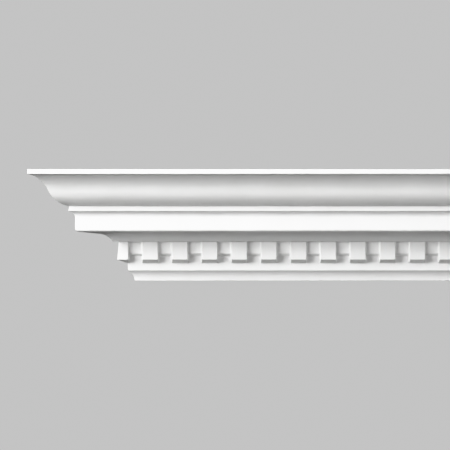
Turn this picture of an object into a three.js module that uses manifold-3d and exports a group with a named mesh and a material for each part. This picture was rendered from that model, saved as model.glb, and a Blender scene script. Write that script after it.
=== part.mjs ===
// A length of dentil cornice, moulded in one piece of hard polyurethane foam and primed white.
// Its left end is mitred at 45 degrees for an outside corner, its right end is cut square.
// Millimetres. +X runs along the wall, +Y points into the wall, +Z up to the ceiling.
// The origin is on the wall bed, halfway along it and halfway up it.
import * as THREE from 'three';
import { mergeVertices } from 'three/addons/utils/BufferGeometryUtils.js';
import Module from 'manifold-3d';

// Length along the wall, from the mitre to the square end, and the beds that are glued
const BACK_LENGTH = 327;
const WALL_BED_HEIGHT = 38;
const CEILING_BED_DEPTH = 30;

// Heights of the members, from the foot up
const FOOT_CAVETTO_HEIGHT = 10.5;
const FASCIA_HEIGHT = 7.3;
const TOOTH_UNDERSIDE_RISE = 3.8;
const TOOTH_HEIGHT = 18.6;
const WEB_HEIGHT = 12.5;
const WEB_UNDERSIDE_RISE = 2.5;
const COVE_HEIGHT = 7.8;
const CORONA_LIFT = 4.5;
const CORONA_HEIGHT = 11.5;
const SCOTIA_HEIGHT = 5.5;
const BEAD_UNDERCUT = 1;
const BEAD_HEIGHT = 5;
const OVOLO_HEIGHT = 14.5;
const HOLLOW_HEIGHT = 15.5;
const LIP_UNDERCUT = 1;
const LIP_HEIGHT = 4.5;

// How far each member steps out beyond the one below it
const FOOT_THICKNESS = 4;
const FOOT_CAVETTO_DEPTH = 6.7;
const WEB_RELIEF = 4.8;
const TOOTH_RELIEF = 4;
const TOOTH_LEAN = 1.7;
const STEP_DEPTH = 6.3;
const COVE_DEPTH = 14.8;
const CORONA_OVERHANG = 20.7;
const SCOTIA_DEPTH = 3.2;
const BEAD_OVERHANG = 3.3;
const BEAD_LEAN = 0.8;
const OVOLO_DEPTH = 19;
const HOLLOW_DEPTH = 15.5;
const LIP_OVERHANG = 4;

// The teeth, which taper a little from root to face so that they leave the mould, and the fillets
// in the corners beside them
const TOOTH_PITCH = 30;
const TOOTH_FACE_WIDTH = 15.6;
const TOOTH_SIDE_DRAFT = 0.6;
const ROOT_FILLET = 1.3;

// Curves: the turn of the foot's hollow, the corona's rounded lower edge, and the slope where the
// cyma changes from round to hollow
const FOOT_CAVETTO_TURN = THREE.MathUtils.degToRad(52);
const NOSE_RADIUS = 2.5;
const CYMA_SLOPE = THREE.MathUtils.degToRad(68);
const ARC_STEP = THREE.MathUtils.degToRad(4);

// How far a tooth reaches into the body, and the mitre's cutter beyond it
const TOOTH_KEY = 2;
const CUT_MARGIN = 5;

// Levels above the foot
const fasciaFoot = FOOT_CAVETTO_HEIGHT;
const toothRoot = fasciaFoot + FASCIA_HEIGHT;
const toothFoot = toothRoot + TOOTH_UNDERSIDE_RISE;
const toothTop = toothFoot + TOOTH_HEIGHT;
const soffit = toothTop + COVE_HEIGHT;
const coronaFoot = soffit + CORONA_LIFT;
const coronaTop = coronaFoot + CORONA_HEIGHT;
const scotiaTop = coronaTop + SCOTIA_HEIGHT;
const beadFoot = scotiaTop + BEAD_UNDERCUT;
const beadTop = beadFoot + BEAD_HEIGHT;
const cymaBend = beadTop + OVOLO_HEIGHT;
const cymaTop = cymaBend + HOLLOW_HEIGHT;
const lipFoot = cymaTop + LIP_UNDERCUT;
const ceiling = lipFoot + LIP_HEIGHT;
const bedCentre = WALL_BED_HEIGHT / 2;

// Projections from the wall
const fasciaFace = FOOT_THICKNESS + FOOT_CAVETTO_DEPTH;
const webFace = fasciaFace + WEB_RELIEF;
const toothTopFace = webFace + TOOTH_RELIEF;
const toothFootFace = toothTopFace + TOOTH_LEAN;
const coveFoot = toothTopFace + STEP_DEPTH;
const coveTop = coveFoot + COVE_DEPTH;
const coronaFace = coveTop + CORONA_OVERHANG;
const scotiaEnd = coronaFace + SCOTIA_DEPTH;
const beadFootFace = scotiaEnd + BEAD_OVERHANG;
const beadTopFace = beadFootFace - BEAD_LEAN;
const cymaBendFace = beadTopFace + OVOLO_DEPTH;
const cymaTopFace = cymaBendFace + HOLLOW_DEPTH;
const lipFace = cymaTopFace + LIP_OVERHANG;

// The undersides of the teeth, and of the web between them, rise towards the front
const toothSlope = TOOTH_UNDERSIDE_RISE / (toothFootFace - fasciaFace);
const webSlope = WEB_UNDERSIDE_RISE / WEB_RELIEF;
const webFoot = toothTop - WEB_HEIGHT;
const webRoot = webFoot - WEB_UNDERSIDE_RISE;

// The soffit rises a little from the cove to the corona's edge, and meets its round as a tangent
const noseCentre = new THREE.Vector2(coronaFace - NOSE_RADIUS, coronaFoot);
const toNose = noseCentre.clone().sub(new THREE.Vector2(coveTop, soffit));
const soffitSlope = toNose.angle() - Math.asin(NOSE_RADIUS / toNose.length());
const noseStart = noseCentre.x + NOSE_RADIUS * Math.sin(soffitSlope);
const noseFoot = noseCentre.y - NOSE_RADIUS * Math.cos(soffitSlope);

// Ends of the length, where its beds meet the wall
const mitreEnd = -BACK_LENGTH / 2;
const squareEnd = BACK_LENGTH / 2;

const wasm = await Module();
wasm.setup();

// A point of the cross-section, by its projection from the wall and its height above the foot.
// The section is drawn looking along the length: y to the right, z up.
function sectionPoint(projection, height) {
  return new THREE.Vector2(-projection, height - bedCentre);
}

// Points of an arc between two points that turns left by the given angle, or right if negative
function arcPoints(from, to, turn) {
  const chord = to.clone().sub(from);
  const heading = chord.angle() - turn / 2;
  const radius = chord.length() / (2 * Math.sin(turn / 2));
  const centre = new THREE.Vector2(-Math.sin(heading), Math.cos(heading));
  centre.multiplyScalar(radius).add(from);
  const start = from.clone().sub(centre).angle();
  const size = Math.abs(radius);
  const arc = new THREE.EllipseCurve(centre.x, centre.y, size, size, start, start + turn, turn < 0);
  const steps = Math.ceil(Math.abs(turn) / ARC_STEP);
  return [...arc.getPoints(steps).slice(1, -1), to];
}

// Outline of the body's cross-section, with the web running on behind the teeth
function bodyOutline() {
  const outline = [sectionPoint(0, 0)];
  const line = (projection, height) => outline.push(sectionPoint(projection, height));
  const arc = (projection, height, turn) => {
    outline.push(...arcPoints(outline.at(-1), sectionPoint(projection, height), turn));
  };
  const ovoloTurn = 2 * (CYMA_SLOPE - Math.atan2(OVOLO_HEIGHT, OVOLO_DEPTH));
  const hollowTurn = 2 * (CYMA_SLOPE - Math.atan2(HOLLOW_HEIGHT, HOLLOW_DEPTH));

  line(FOOT_THICKNESS, 0);
  arc(fasciaFace, fasciaFoot, FOOT_CAVETTO_TURN);
  line(fasciaFace, webRoot);
  line(webFace, webFoot);
  line(webFace, toothTop);
  line(coveFoot, toothTop);
  arc(coveTop, soffit, 2 * Math.atan2(COVE_HEIGHT, COVE_DEPTH));
  line(noseStart, noseFoot);
  arc(coronaFace, coronaFoot, soffitSlope - Math.PI / 2);
  line(coronaFace, coronaTop);
  arc(scotiaEnd, scotiaTop, 2 * Math.atan2(SCOTIA_DEPTH, SCOTIA_HEIGHT));
  line(beadFootFace, beadFoot);
  line(beadTopFace, beadTop);
  arc(cymaBendFace, cymaBend, -ovoloTurn);
  arc(cymaTopFace, cymaTop, hollowTurn);
  line(lipFace, lipFoot);
  line(lipFace, ceiling);
  line(lipFace - CEILING_BED_DEPTH, ceiling);
  line(0, WALL_BED_HEIGHT);
  return outline;
}

// Side view of one tooth, keyed into the web behind it and the step above it
function toothOutline() {
  const leanPerHeight = TOOTH_LEAN / TOOTH_HEIGHT;
  return [
    sectionPoint(fasciaFace - TOOTH_KEY, toothRoot - TOOTH_KEY * toothSlope),
    sectionPoint(toothFootFace, toothFoot),
    sectionPoint(toothTopFace - TOOTH_KEY * leanPerHeight, toothTop + TOOTH_KEY),
    sectionPoint(webFace - TOOTH_KEY, toothTop + TOOTH_KEY),
  ];
}

// Extrudes a cross-section along +X, starting at x = 0
function alongWall(outline, length) {
  const shape = new THREE.Shape(outline);
  const geometry = new THREE.ExtrudeGeometry(shape, { depth: length, bevelEnabled: false });
  const sectionAxes = new THREE.Matrix4().makeBasis(
    new THREE.Vector3(0, 1, 0),
    new THREE.Vector3(0, 0, 1),
    new THREE.Vector3(1, 0, 0),
  );
  return geometry.applyMatrix4(sectionAxes);
}

// Side view of the fillet beside a tooth, on the fascia and on the web
function fasciaFilletOutline() {
  const front = fasciaFace + ROOT_FILLET;
  const behind = fasciaFace - TOOTH_KEY;
  return [
    sectionPoint(behind, toothRoot - TOOTH_KEY * toothSlope),
    sectionPoint(front, toothRoot + ROOT_FILLET * toothSlope),
    sectionPoint(front, webFoot),
    sectionPoint(behind, webFoot),
  ];
}

function webFilletOutline() {
  const front = webFace + ROOT_FILLET;
  const behind = webFace - TOOTH_KEY;
  return [
    sectionPoint(behind, webFoot - TOOTH_KEY * webSlope),
    sectionPoint(front, webFoot + ROOT_FILLET * webSlope),
    sectionPoint(front, toothTop + TOOTH_KEY),
    sectionPoint(behind, toothTop + TOOTH_KEY),
  ];
}

// Extrudes a side view both ways from x = 0, to a half width that depends on the projection
function acrossWall(outline, halfWidthAt) {
  const geometry = alongWall(outline, 1);
  const position = geometry.getAttribute('position');
  for (let i = 0; i < position.count; i += 1) {
    const half = halfWidthAt(-position.getY(i));
    position.setX(i, position.getX(i) > 0.5 ? half : -half);
  }
  return geometry;
}

// A tooth centred on x = 0, with the fillets on both its sides
function toothSolid() {
  const draftPerDepth = TOOTH_SIDE_DRAFT / (toothFootFace - fasciaFace);
  const sideAt = (projection) => {
    return TOOTH_FACE_WIDTH / 2 + draftPerDepth * (toothFootFace - projection);
  };
  const filletFrom = (base) => (projection) => sideAt(base) + ROOT_FILLET - (projection - base);
  const tooth = toSolid(acrossWall(toothOutline(), sideAt));
  const fasciaFillet = toSolid(acrossWall(fasciaFilletOutline(), filletFrom(fasciaFace)));
  const webFillet = toSolid(acrossWall(webFilletOutline(), filletFrom(webFace)));
  return tooth.add(fasciaFillet).add(webFillet);
}

// A wedge, in plan a triangle, of all that lies beyond the mitre
function mitreWedge() {
  const front = -lipFace - CUT_MARGIN;
  const behind = CUT_MARGIN;
  const plan = new THREE.Shape([
    new THREE.Vector2(mitreEnd + behind, behind),
    new THREE.Vector2(mitreEnd + front, behind),
    new THREE.Vector2(mitreEnd + front, front),
  ]);
  const depth = ceiling + 2 * CUT_MARGIN;
  const geometry = new THREE.ExtrudeGeometry(plan, { depth, bevelEnabled: false });
  return geometry.translate(0, 0, -bedCentre - CUT_MARGIN);
}

// Geometry to solid, and back
function toSolid(geometry) {
  const bare = geometry.clone();
  bare.deleteAttribute('normal');
  bare.deleteAttribute('uv');
  const merged = mergeVertices(bare);
  const vertProperties = new Float32Array(merged.getAttribute('position').array);
  const triVerts = new Uint32Array(merged.getIndex().array);
  return new wasm.Manifold(new wasm.Mesh({ numProp: 3, vertProperties, triVerts }));
}

function toGeometry(solid) {
  const mesh = solid.getMesh();
  const geometry = new THREE.BufferGeometry();
  geometry.setAttribute('position', new THREE.BufferAttribute(mesh.vertProperties, 3));
  geometry.setIndex(new THREE.BufferAttribute(mesh.triVerts, 1));
  geometry.computeVertexNormals();
  return geometry;
}

// The body runs from the square end past the longest point of the mitre
function mouldingSolid() {
  const bodyLength = BACK_LENGTH + lipFace + CUT_MARGIN;
  const body = alongWall(bodyOutline(), bodyLength).translate(squareEnd - bodyLength, 0, 0);
  let moulding = toSolid(body);

  // The teeth are set out from the square end, which cuts a gap in half
  const rootHalf = TOOTH_FACE_WIDTH / 2 + TOOTH_SIDE_DRAFT + ROOT_FILLET;
  const lastCentre = mitreEnd - fasciaFace - rootHalf;
  const tooth = toothSolid();
  for (let x = squareEnd - TOOTH_PITCH / 2; x > lastCentre; x -= TOOTH_PITCH) {
    moulding = moulding.add(tooth.translate(x, 0, 0));
  }
  return moulding.subtract(toSolid(mitreWedge()));
}

const primedFoam = new THREE.MeshStandardMaterial({
  color: 0xf4f4f2,
  roughness: 0.55,
  metalness: 0,
});

const moulding = new THREE.Mesh(toGeometry(mouldingSolid()), primedFoam);
moulding.name = 'cornice_moulding';

const cornice = new THREE.Group();
cornice.add(moulding);

export default cornice;
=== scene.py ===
import math

import bmesh
import bpy
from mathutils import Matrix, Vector, noise


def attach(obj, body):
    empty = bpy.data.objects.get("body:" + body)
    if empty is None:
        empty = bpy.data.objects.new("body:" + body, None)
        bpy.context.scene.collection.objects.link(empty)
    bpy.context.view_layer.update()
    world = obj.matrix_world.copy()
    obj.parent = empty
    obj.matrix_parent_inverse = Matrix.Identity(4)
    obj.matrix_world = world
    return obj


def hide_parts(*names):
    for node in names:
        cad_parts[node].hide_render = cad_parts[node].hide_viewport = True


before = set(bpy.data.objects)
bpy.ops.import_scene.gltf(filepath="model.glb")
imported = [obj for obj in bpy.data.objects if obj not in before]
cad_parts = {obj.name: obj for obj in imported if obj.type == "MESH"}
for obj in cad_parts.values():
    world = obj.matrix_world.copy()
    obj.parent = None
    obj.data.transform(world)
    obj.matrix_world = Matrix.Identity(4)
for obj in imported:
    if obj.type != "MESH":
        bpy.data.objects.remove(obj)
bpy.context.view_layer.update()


# ------------------------------------------------------------------------------------------------
# The moulded length
# A room cornice of hard polyurethane foam, cast in one piece with its teeth in a rubber mould and
# then primed white. It is glued by the bed behind its foot and by the bed on top of its lip.
# ------------------------------------------------------------------------------------------------

MM = 0.001

# Length along the wall, and the levels of the members above the foot, in millimetres
SQUARE_END = 163.5
MITRE_END = -163.5
BED_CENTRE = 19.0
WALL_BED_TOP = 38.0
FASCIA_FOOT = 10.5
TOOTH_ROOT = 17.8
TOOTH_FOOT = 21.6
STEP = 40.2
SOFFIT = 48.0
CORONA_FOOT = 52.5
CORONA_TOP = 64.0
SCOTIA_TOP = 69.5
BEAD_FOOT = 70.5
BEAD_TOP = 75.5
CYMA_BEND = 90.0
CYMA_TOP = 105.5
LIP_FOOT = 106.5
CEILING = 111.0

# Projections from the wall, in millimetres
FOOT_FACE = 4.0
FASCIA_FACE = 10.7
WEB_FACE = 15.5
TOOTH_TOP_FACE = 19.5
TOOTH_FOOT_FACE = 21.2
COVE_FOOT = 25.8
COVE_TOP = 40.6
CORONA_FACE = 61.3
SCOTIA_END = 64.5
BEAD_FOOT_FACE = 67.8
BEAD_TOP_FACE = 67.0
CYMA_BEND_FACE = 86.0
CYMA_TOP_FACE = 101.5
LIP_FACE = 105.5
CEILING_BED_BACK = 75.5

# The teeth and the web between them: the pitch, half the width of a face, the taper of a side
# over its full depth, and the levels between which the web's underside slopes
TOOTH_PITCH = 30.0
TOOTH_FACE_HALF = 7.8
SIDE_TAPER = 0.6
WEB_FOOT = 27.7
WEB_ROOT = 25.2

# Their slopes, in millimetres per millimetre
SIDE_DRAFT = SIDE_TAPER / (TOOTH_FOOT_FACE - FASCIA_FACE)
UNDERSIDE_SLOPE = (TOOTH_FOOT - TOOTH_ROOT) / (TOOTH_FOOT_FACE - FASCIA_FACE)
FACE_LEAN = (TOOTH_FOOT_FACE - TOOTH_TOP_FACE) / (STEP - TOOTH_FOOT)

# How soft the rubber mould leaves a tooth: the rounds of its upright arrises, the fillets in the
# corners beside it, the rounds of its lower arris and of the web's, and how far it is uneven
ARRIS_ROUND = 0.5
ROOT_FILLET = 1.4
TOOTH_SOFTNESS = 1.0
WEB_SOFTNESS = 0.8
UNEVENNESS = 0.12

# Curves, in degrees: the turn of the foot's hollow, and the slope at which the cyma's two curves
# meet. The corona's lower edge is a round with a radius in millimetres
FOOT_TURN = 52
CYMA_SLOPE = 68
NOSE_RADIUS = 2.5

# The mesh takes a step for every few degrees of a curve, and four over each softened arris
DEGREES_PER_STEP = 4
ARRIS_STEPS = (0.2, 0.4, 0.6, 0.8)
LEAST_GAP = 0.05


def curve(start, end, turn):
    """An arc of the outline, which turns clockwise by the given degrees, with its two ends."""
    turn = -math.radians(turn)
    chord = Vector(end) - Vector(start)
    heading = math.atan2(chord.y, chord.x) - turn / 2
    radius = chord.length / (2 * math.sin(turn / 2))
    centre = Vector(start) + radius * Vector((-math.sin(heading), math.cos(heading)))
    steps = max(3, math.ceil(abs(math.degrees(turn)) / DEGREES_PER_STEP))
    points = []
    for i in range(steps + 1):
        angle = heading + turn * i / steps
        points.append(centre + radius * Vector((math.sin(angle), -math.cos(angle))))
    return points


def straight(start, end):
    return [Vector(start), Vector(end)]


def cut_back(points, start, end):
    """Shortens a member of the outline by a length at its start and at its end."""
    lengths = [0.0]
    for a, b in zip(points, points[1:]):
        lengths.append(lengths[-1] + (b - a).length)
    total = lengths[-1]

    def at(distance):
        for i in range(1, len(points)):
            if distance <= lengths[i] or i == len(points) - 1:
                part = (distance - lengths[i - 1]) / (lengths[i] - lengths[i - 1])
                return points[i - 1].lerp(points[i], part)

    first, last = start + LEAST_GAP, total - end - LEAST_GAP
    inner = [p for p, d in zip(points, lengths) if first < d < last]
    return [at(start), *inner, at(total - end)]


def run_of(members, softness):
    """Joins members end to end and rounds each arris between them. Smooth joints have no softness."""
    outline = []
    for i, member in enumerate(members):
        before = softness[i - 1] if i else 0.0
        after = softness[i] if i < len(members) - 1 else 0.0
        outline.extend(cut_back(member, before, after))
        if i < len(members) - 1 and not after:
            outline.pop()
        elif after:
            corner = member[-1]
            a = outline[-1]
            b = cut_back(members[i + 1], after, 0.0)[0]
            for t in ARRIS_STEPS:
                outline.append(a * (1 - t) ** 2 + corner * 2 * t * (1 - t) + b * t * t)
    return outline


def degrees_of(rise, run):
    return math.degrees(math.atan2(rise, run))


# Each half of the cyma turns from its own chord to the slope where they meet. The cove ends level
# and the scotia starts upright
ovolo_chord = degrees_of(CYMA_BEND - BEAD_TOP, CYMA_BEND_FACE - BEAD_TOP_FACE)
hollow_chord = degrees_of(CYMA_TOP - CYMA_BEND, CYMA_TOP_FACE - CYMA_BEND_FACE)
ovolo_turn = -2 * (CYMA_SLOPE - ovolo_chord)
hollow_turn = 2 * (CYMA_SLOPE - hollow_chord)
cove_turn = 2 * degrees_of(SOFFIT - STEP, COVE_TOP - COVE_FOOT)
scotia_turn = 2 * degrees_of(SCOTIA_END - CORONA_FACE, SCOTIA_TOP - CORONA_TOP)

# The rising soffit meets the corona's lower round as a tangent
nose_centre = Vector((CORONA_FACE - NOSE_RADIUS, CORONA_FOOT))
to_nose = nose_centre - Vector((COVE_TOP, SOFFIT))
soffit_slope = math.atan2(to_nose.y, to_nose.x) - math.asin(NOSE_RADIUS / to_nose.length)
nose_start = nose_centre + NOSE_RADIUS * Vector((math.sin(soffit_slope), -math.cos(soffit_slope)))

# The outline below the band of teeth and above it, each with how far its arrises are softened
BAND_FOOT = TOOTH_ROOT - 1.0
below_teeth = run_of(
    [
        straight((0, BED_CENTRE), (0, 0)),
        straight((0, 0), (FOOT_FACE, 0)),
        curve((FOOT_FACE, 0), (FASCIA_FACE, FASCIA_FOOT), FOOT_TURN),
        straight((FASCIA_FACE, FASCIA_FOOT), (FASCIA_FACE, BAND_FOOT)),
    ],
    [0.8, 0.5, 0.7],
)
above_teeth = run_of(
    [
        straight((COVE_FOOT - 2.0, STEP), (COVE_FOOT, STEP)),
        curve((COVE_FOOT, STEP), (COVE_TOP, SOFFIT), cove_turn),
        straight((COVE_TOP, SOFFIT), nose_start),
        curve(nose_start, (CORONA_FACE, CORONA_FOOT), -(90 - math.degrees(soffit_slope))),
        straight((CORONA_FACE, CORONA_FOOT), (CORONA_FACE, CORONA_TOP)),
        curve((CORONA_FACE, CORONA_TOP), (SCOTIA_END, SCOTIA_TOP), scotia_turn),
        straight((SCOTIA_END, SCOTIA_TOP), (BEAD_FOOT_FACE, BEAD_FOOT)),
        straight((BEAD_FOOT_FACE, BEAD_FOOT), (BEAD_TOP_FACE, BEAD_TOP)),
        curve((BEAD_TOP_FACE, BEAD_TOP), (CYMA_BEND_FACE, CYMA_BEND), ovolo_turn),
        curve((CYMA_BEND_FACE, CYMA_BEND), (CYMA_TOP_FACE, CYMA_TOP), hollow_turn),
        straight((CYMA_TOP_FACE, CYMA_TOP), (LIP_FACE, LIP_FOOT)),
        straight((LIP_FACE, LIP_FOOT), (LIP_FACE, CEILING)),
        straight((LIP_FACE, CEILING), (CEILING_BED_BACK, CEILING)),
        straight((CEILING_BED_BACK, CEILING), (0, WALL_BED_TOP)),
        straight((0, WALL_BED_TOP), (0, BED_CENTRE)),
    ],
    [1.0, 0, 0, 0, 0.4, 0.3, 0.8, 0.6, 0, 0.3, 0.7, 0.7, 1.2, 1.2],
)


def soft_min(a, b, reach):
    """The lesser of two lengths, with the crossing rounded where they differ by less than a reach."""
    near = max(reach - abs(a - b), 0.0) / reach
    return min(a, b) - near * near * reach / 4


def soft_max(a, b, reach):
    """The greater of two lengths, rounded in the same way."""
    return -soft_min(-a, -b, reach)


def web_front(height):
    """Projection of the fascia and of the web that stands a little proud behind the teeth."""
    up = (height - WEB_ROOT) / (WEB_FOOT - WEB_ROOT)
    slope = FASCIA_FACE + up * (WEB_FACE - FASCIA_FACE)
    return soft_max(FASCIA_FACE, soft_min(WEB_FACE, slope, WEB_SOFTNESS), WEB_SOFTNESS)


def tooth_face(height):
    """Projection of a tooth's sloping underside and leaning face."""
    under = FASCIA_FACE + (height - TOOTH_ROOT) / UNDERSIDE_SLOPE
    face = TOOTH_FOOT_FACE - (height - TOOTH_FOOT) * FACE_LEAN
    return soft_min(under, face, TOOTH_SOFTNESS)


def front(x, middle, height):
    """Projection of the tooth band, beside a tooth whose middle is given."""
    base = web_front(height)
    depth = tooth_face(height) - base
    if depth <= 0:
        return base
    # No two teeth come out of the mould quite alike
    uneven = UNEVENNESS * noise.noise(Vector((x, height, middle)) / 7) * min(depth / 4, 1)
    arris = min(ARRIS_ROUND, depth / 3)
    fillet = min(ROOT_FILLET, depth / 2)
    beyond = abs(x - middle) - TOOTH_FACE_HALF
    side = SIDE_DRAFT * depth
    if beyond <= 0:
        past = max(beyond + arris, 0.0)
        drop = arris - math.sqrt(arris ** 2 - min(past, arris) ** 2)
        return base + depth - drop + uneven
    if beyond <= side:
        return base + fillet + (depth - arris - fillet) * (1 - beyond / side)
    left = max(fillet - (beyond - side), 0.0)
    return base + fillet - math.sqrt(fillet ** 2 - left ** 2)


# Heights where the mesh runs along the band of teeth, closest at the arrises of tooth and web
band_heights = [BAND_FOOT, 17.3, 17.6, 17.8, 18.0, 18.3, 18.9, 19.7, 20.5, 21.0, 21.3, 21.5, 21.7]
band_heights += [21.9, 22.3, 23.2, 24.4, 24.9, 25.1, 25.3, 25.6, 26.2, 26.9, 27.3, 27.5, 27.7, 28.0]
band_heights += [29.0, 31.0, 33.5, 36.0, 38.2, 39.4, STEP - 0.5]

# Where the mesh runs up a tooth and the gap beside it, from the tooth's middle
beside = [4.0, 6.4, 7.1, 7.3, 7.45, 7.58, 7.69, 7.77, 7.8]
beside += [8.15, 8.4, 8.45, 8.6, 8.85, 9.2, 9.8, 11.0]

# Every place along the length where the mesh runs up the moulding, and the tooth nearest to it
places = [(SQUARE_END, SQUARE_END - TOOTH_PITCH / 2)]
middle = SQUARE_END - TOOTH_PITCH / 2
while middle > MITRE_END - COVE_FOOT:
    places += [(middle + offset, middle) for offset in reversed(beside)]
    places += [(middle - offset, middle) for offset in [0.0, *beside]]
    places.append((middle - TOOTH_PITCH / 2, middle))
    middle -= TOOTH_PITCH
# Beyond the last tooth it runs on in long steps, past where the mitre cuts the lip
places += [(x, middle + TOOTH_PITCH) for x in (-215.0, -245.0, MITRE_END - LIP_FACE - 8.0)]

# Rows from the foot up. Two of them turn the corner from the teeth to the step's underside
rows = [[(p.x, p.y)] * len(places) for p in below_teeth[:-1]]
rows += [[(front(x, tooth, height), height) for x, tooth in places] for height in band_heights]
rows.append([(front(x, tooth, STEP - 0.2) + 0.15, STEP - 0.15) for x, tooth in places])
rows.append([(front(x, tooth, STEP) + 0.5, STEP) for x, tooth in places])
rows += [[(p.x, p.y)] * len(places) for p in above_teeth[1:-1]]

# A closed tube of these rows, cut at the mitre and capped at both ends
bm = bmesh.new()
grid = []
for row in rows:
    grid.append([
        bm.verts.new((x * MM, -p * MM, (h - BED_CENTRE) * MM))
        for (x, _), (p, h) in zip(places, row)
    ])
for lower, upper in zip(grid, grid[1:] + grid[:1]):
    for i in range(len(lower) - 1):
        bm.faces.new((lower[i], lower[i + 1], upper[i + 1], upper[i]))
bmesh.ops.bisect_plane(
    bm,
    geom=bm.verts[:] + bm.edges[:] + bm.faces[:],
    dist=0.00001,
    plane_co=(MITRE_END * MM, 0, 0),
    plane_no=(-1, 1, 0),
    clear_outer=True,
)
open_edges = [e for e in bm.edges if e.is_boundary]
ends = bmesh.ops.holes_fill(bm, edges=open_edges, sides=0)["faces"]
bmesh.ops.recalc_face_normals(bm, faces=bm.faces[:])
for face in bm.faces:
    face.smooth = True
for face in ends:
    face.smooth = False
    face.material_index = 1
    for edge in face.edges:
        edge.smooth = False
mesh = bpy.data.meshes.new("moulded_cornice")
bm.to_mesh(mesh)
bm.free()
moulding = bpy.data.objects.new("moulded_cornice", mesh)
bpy.context.scene.collection.objects.link(moulding)
even = moulding.modifiers.new("even_normals", "WEIGHTED_NORMAL")
even.keep_sharp = True
even.weight = 80

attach(moulding, "root")
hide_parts("cornice_moulding")


def linear(hex_colour):
    """sRGB hex to linear red, green, blue and alpha."""
    channels = [int(hex_colour[i:i + 2], 16) / 255 for i in (1, 3, 5)]
    return (*[c / 12.92 if c <= 0.04045 else ((c + 0.055) / 1.055) ** 2.4 for c in channels], 1.0)


def add(tree, kind, settings, links=None):
    """A node with its settings, where lower case is the node's own, and the sockets that feed it."""
    node = tree.nodes.new(kind)
    for name, value in settings.items():
        if isinstance(name, str) and name[0].islower():
            setattr(node, name, value)
        else:
            node.inputs[name].default_value = value
    for name, output in (links or {}).items():
        tree.links.new(output, node.inputs[name])
    return node


# The skin is hard polyurethane that copies the rubber mould, with one sprayed coat of white
# water-based primer. The primer dries to a matt, faintly pebbled film. It covers all that the spray
# reaches from the front, and thins out on the beds and the back, where the cream foam shows.
skin = bpy.data.materials.new("primed_moulded_polyurethane_skin")
skin.use_nodes = True
tree = skin.node_tree
shader = tree.nodes["Principled BSDF"]
shader.inputs["IOR"].default_value = 1.5
place = add(tree, "ShaderNodeTexCoord", {}).outputs["Object"]
facing = add(tree, "ShaderNodeNewGeometry", {}).outputs["Normal"]
turned = add(tree, "ShaderNodeSeparateXYZ", {}, {"Vector": facing})
at = add(tree, "ShaderNodeSeparateXYZ", {}, {"Vector": place})

# Where the foam is bare: on faces that look back or up, less the strips of the two beds where the
# spray drifts over the edge, in millimetres. The edge of the drift is uneven over about 6 mm
DRIFT_BEHIND_LIP = 12
DRIFT_ABOVE_FOOT = 8
cloud = add(tree, "ShaderNodeTexNoise", {"Scale": 1 / (6 * MM), "Detail": 3.0}, {"Vector": place})
back_or_up = add(
    tree, "ShaderNodeMath", {"operation": "MAXIMUM"},
    {0: turned.outputs["Y"], 1: turned.outputs["Z"]},
)
hidden = add(
    tree, "ShaderNodeMapRange",
    {"interpolation_type": "SMOOTHSTEP", "From Min": 0.35, "From Max": 0.65},
    {"Value": back_or_up.outputs[0]},
)
from_lip = add(
    tree, "ShaderNodeMapRange",
    {
        "interpolation_type": "SMOOTHSTEP",
        "From Min": -LIP_FACE * MM,
        "From Max": (DRIFT_BEHIND_LIP - LIP_FACE) * MM,
    },
    {"Value": at.outputs["Y"]},
)
from_foot = add(
    tree, "ShaderNodeMapRange",
    {
        "interpolation_type": "SMOOTHSTEP",
        "From Min": -BED_CENTRE * MM,
        "From Max": (DRIFT_ABOVE_FOOT - BED_CENTRE) * MM,
    },
    {"Value": at.outputs["Z"]},
)
clear = add(
    tree, "ShaderNodeMath", {"operation": "MULTIPLY"},
    {0: from_lip.outputs[0], 1: from_foot.outputs[0]},
)
speckled = add(
    tree, "ShaderNodeMath", {"operation": "MULTIPLY_ADD", 1: 1.6},
    {0: clear.outputs[0], 2: cloud.outputs["Fac"]},
)
bare_share = add(
    tree, "ShaderNodeMapRange",
    {"interpolation_type": "SMOOTHSTEP", "From Min": 0.9, "From Max": 1.6},
    {"Value": speckled.outputs[0]},
)
bare = add(
    tree, "ShaderNodeMath", {"operation": "MULTIPLY"},
    {0: hidden.outputs[0], 1: bare_share.outputs[0]},
)

# Primer: an even white, a shade greyer in patches about 35 mm across where the coat is thinner
patches = add(tree, "ShaderNodeTexNoise", {"Scale": 1 / (35 * MM), "Detail": 2.0}, {"Vector": place})
white = add(
    tree, "ShaderNodeMix", {"data_type": "RGBA", 6: linear("#efefee"), 7: linear("#f8f8f8")},
    {0: patches.outputs["Fac"]},
)
# Bare skin: cream, with flow marks drawn out along the length, about 70 mm by 9 mm
along = add(
    tree, "ShaderNodeMapping", {"Scale": (1 / (70 * MM), 1 / (9 * MM), 1 / (9 * MM))},
    {"Vector": place},
)
flow = add(
    tree, "ShaderNodeTexNoise", {"Scale": 1.0, "Detail": 4.0, "Distortion": 0.6},
    {"Vector": along.outputs[0]},
)
cream = add(
    tree, "ShaderNodeMix", {"data_type": "RGBA", 6: linear("#e4dccb"), 7: linear("#f1ece0")},
    {0: flow.outputs["Fac"]},
)
colour = add(
    tree, "ShaderNodeMix", {"data_type": "RGBA"},
    {0: bare.outputs[0], 6: white.outputs[2], 7: cream.outputs[2]},
)
tree.links.new(colour.outputs[2], shader.inputs["Base Color"])

# Spray pebble, real ones are about 0.8 mm across and are drawn at 1.6 mm so that they show
pebble = add(tree, "ShaderNodeTexNoise", {"Scale": 1 / (1.6 * MM), "Detail": 2.0}, {"Vector": place})
primer_sheen = add(
    tree, "ShaderNodeMapRange", {"From Min": 0.3, "From Max": 0.7, "To Min": 0.48, "To Max": 0.6},
    {"Value": pebble.outputs["Fac"]},
)
sheen = add(
    tree, "ShaderNodeMix", {"data_type": "FLOAT", 3: 0.72},
    {0: bare.outputs[0], 2: primer_sheen.outputs[0]},
)
tree.links.new(sheen.outputs[0], shader.inputs["Roughness"])

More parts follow.
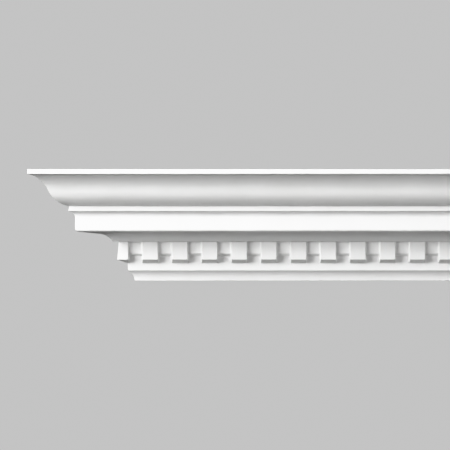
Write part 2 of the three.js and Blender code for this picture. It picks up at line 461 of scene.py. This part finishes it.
# Relief in millimetres: the pebble, the slow waviness of a rubber mould about 16 mm long, and on
# the bare back the open pores, about 0.7 mm wide
PEBBLE_HEIGHT = 0.03
WAVE_HEIGHT = 0.25
PORE_DEPTH = 0.2
wave = add(tree, "ShaderNodeTexNoise", {"Scale": 1 / (16 * MM), "Detail": 1.0}, {"Vector": place})
waved = add(
    tree, "ShaderNodeMath", {"operation": "MULTIPLY", 1: WAVE_HEIGHT},
    {0: wave.outputs["Fac"]},
)
pebbled = add(
    tree, "ShaderNodeMath", {"operation": "MULTIPLY_ADD", 1: PEBBLE_HEIGHT},
    {0: pebble.outputs["Fac"], 2: waved.outputs[0]},
)
cells = add(tree, "ShaderNodeTexVoronoi", {"Scale": 1 / (3.2 * MM)}, {"Vector": place})
pore = add(
    tree, "ShaderNodeMapRange",
    {
        "interpolation_type": "SMOOTHSTEP",
        "From Min": 0.06, "From Max": 0.16, "To Min": -PORE_DEPTH, "To Max": 0.0,
    },
    {"Value": cells.outputs["Distance"]},
)
relief = add(
    tree, "ShaderNodeMath", {"operation": "MULTIPLY_ADD"},
    {0: pore.outputs[0], 1: bare.outputs[0], 2: pebbled.outputs[0]},
)
bump = add(tree, "ShaderNodeBump", {"Strength": 1.0, "Distance": MM}, {"Height": relief.outputs[0]})
tree.links.new(bump.outputs["Normal"], shader.inputs["Normal"])
moulding.data.materials.append(skin)

# The ends are cut with a fine saw after casting, one square and one at 45 degrees. The cut opens
# the foam's cells, so the face is cream, dull and pitted, with the faint marks of the blade.
sawn = bpy.data.materials.new("sawn_polyurethane_foam")
sawn.use_nodes = True
tree = sawn.node_tree
shader = tree.nodes["Principled BSDF"]
shader.inputs["IOR"].default_value = 1.5
place = add(tree, "ShaderNodeTexCoord", {}).outputs["Object"]
# Cells are 0.2 to 0.3 mm across and are drawn at 0.9 mm so that they show
cells = add(tree, "ShaderNodeTexVoronoi", {"Scale": 1 / (0.9 * MM)}, {"Vector": place})
# This mask marks the pits for relief and roughness, and also where painted shade falls in them
pit_and_painted_shade = add(
    tree, "ShaderNodeMapRange",
    {"interpolation_type": "SMOOTHSTEP", "From Min": 0.15, "From Max": 0.6},
    {"Value": cells.outputs["Distance"]},
)
blotch = add(tree, "ShaderNodeTexNoise", {"Scale": 1 / (8 * MM), "Detail": 3.0}, {"Vector": place})
body = add(
    tree, "ShaderNodeMix", {"data_type": "RGBA", 6: linear("#e4dac3"), 7: linear("#f1ead9")},
    {0: blotch.outputs["Fac"]},
)
# Painted shade: the middle of each open cell is painted a darker cream, for the shade inside it
colour = add(
    tree, "ShaderNodeMix", {"data_type": "RGBA", 6: linear("#cdc1a6")},
    {0: pit_and_painted_shade.outputs[0], 7: body.outputs[2]},
)
tree.links.new(colour.outputs[2], shader.inputs["Base Color"])
dull = add(
    tree, "ShaderNodeMapRange", {"To Min": 0.95, "To Max": 0.8},
    {"Value": pit_and_painted_shade.outputs[0]},
)
tree.links.new(dull.outputs[0], shader.inputs["Roughness"])
# Blade marks 1.3 mm apart, level across the cut, with the 3.14 from the length of the node's wave
blade = add(
    tree, "ShaderNodeTexWave",
    {"bands_direction": "Z", "Scale": 1 / (1.3 * MM) / 3.14, "Distortion": 1.5, "Detail": 2.0},
    {"Vector": place},
)
marks = add(tree, "ShaderNodeMath", {"operation": "MULTIPLY", 1: 0.04}, {0: blade.outputs["Fac"]})
relief = add(
    tree, "ShaderNodeMath", {"operation": "MULTIPLY_ADD", 1: 0.15},
    {0: pit_and_painted_shade.outputs[0], 2: marks.outputs[0]},
)
bump = add(tree, "ShaderNodeBump", {"Strength": 1.0, "Distance": MM}, {"Height": relief.outputs[0]})
tree.links.new(bump.outputs["Normal"], shader.inputs["Normal"])
moulding.data.materials.append(sawn)


# ------------------------------------------------------------------------------------------------
# The floor
# A large matt board, well below the moulding, which hangs free as it does in the photo. Its paint
# throws little light up at the undersides, and to the camera it glows as pale as the screens.
# ------------------------------------------------------------------------------------------------

bm = bmesh.new()
bmesh.ops.create_circle(bm, cap_ends=True, segments=96, radius=8.0)
floor_mesh = bpy.data.meshes.new("floor")
bm.to_mesh(floor_mesh)
bm.free()
floor = bpy.data.objects.new("floor", floor_mesh)
bpy.context.scene.collection.objects.link(floor)
floor.location = (0, 0, -3.0)
board = bpy.data.materials.new("matt_painted_board")
board.use_nodes = True
tree = board.node_tree
shader = tree.nodes["Principled BSDF"]
shader.inputs["IOR"].default_value = 1.5
shader.inputs["Roughness"].default_value = 0.9
place = add(tree, "ShaderNodeTexCoord", {}).outputs["Object"]
roller = add(tree, "ShaderNodeTexNoise", {"Scale": 1 / (90 * MM), "Detail": 2.0}, {"Vector": place})
paint = add(
    tree, "ShaderNodeMix", {"data_type": "RGBA", 6: linear("#8d8d8b"), 7: linear("#949492")},
    {0: roller.outputs["Fac"]},
)
tree.links.new(paint.outputs[2], shader.inputs["Base Color"])
seen = add(tree, "ShaderNodeLightPath", {}).outputs["Is Camera Ray"]
shine = add(tree, "ShaderNodeMath", {"operation": "MULTIPLY", 1: 0.42}, {0: seen})
tree.links.new(shine.outputs[0], shader.inputs["Emission Strength"])
shader.inputs["Emission Color"].default_value = linear("#fcfcfa")
floor.data.materials.append(board)


# ------------------------------------------------------------------------------------------------
# The light and the camera
# One large softbox on the left lights the front, and a wide weak one low on the right softens its
# shadows. Two more light the square end and the back. The room is dim, so the undersides stay
# darker than the faces, and the screens around it are pale.
# ------------------------------------------------------------------------------------------------

world = bpy.data.worlds.new("studio")
world.use_nodes = True
bpy.context.scene.world = world
tree = world.node_tree
seen = add(tree, "ShaderNodeLightPath", {}).outputs["Is Camera Ray"]
glow = add(tree, "ShaderNodeMapRange", {"To Min": 0.03, "To Max": 0.55}, {"Value": seen})
tree.links.new(glow.outputs[0], tree.nodes["Background"].inputs["Strength"])
tree.nodes["Background"].inputs["Color"].default_value = linear("#ffffff")


def softbox(name, left, up, distance, width, power):
    """A square light, in degrees to the left of straight on and above the level, metres and watts."""
    a, e = math.radians(left), math.radians(up)
    lamp_data = bpy.data.lights.new(name, "AREA")
    lamp_data.size = width
    lamp_data.energy = power
    lamp = bpy.data.objects.new(name, lamp_data)
    lamp.location = (
        -distance * math.sin(a) * math.cos(e),
        -distance * math.cos(a) * math.cos(e),
        distance * math.sin(e),
    )
    lamp.rotation_euler = (-lamp.location).to_track_quat("-Z", "Y").to_euler()
    lamp.visible_camera = False
    bpy.context.scene.collection.objects.link(lamp)


softbox("key_softbox", 52, 20, 2.4, 1.8, 128)
softbox("fill_softbox", -35, 8, 2.4, 2.4, 16)
softbox("side_softbox", -100, 12, 2.4, 1.2, 28)
softbox("rear_softbox", 165, 28, 3.0, 1.5, 72)

# A long lens, level with the corona's lower part and straight in front of the middle of the photo
camera_data = bpy.data.cameras.new("camera")
camera_data.lens = 200
camera_data.sensor_width = 36
camera = bpy.data.objects.new("camera", camera_data)
camera.location = (-0.0759, -2.5458, 0.0376)
camera.rotation_euler = (math.pi / 2, 0, 0)
bpy.context.scene.collection.objects.link(camera)
bpy.context.scene.camera = camera

# The camera's response is even up to a light of 0.8. It rolls off the brightest faces, up to a
# light of 1.4, a little short of plain white
BRIGHTEST = 1.4
response = bpy.context.scene.view_settings
response.view_transform = "Standard"
response.use_curve_mapping = True
response.curve_mapping.white_level = (BRIGHTEST, BRIGHTEST, BRIGHTEST)
rise = response.curve_mapping.curves[3]
rise.points[1].location = (1.0, 0.98)
for light, shown in ((0.2, 0.2), (0.4, 0.4), (0.6, 0.6), (0.8, 0.8), (1.05, 0.94)):
    rise.points.new(light / BRIGHTEST, shown)
response.curve_mapping.update()
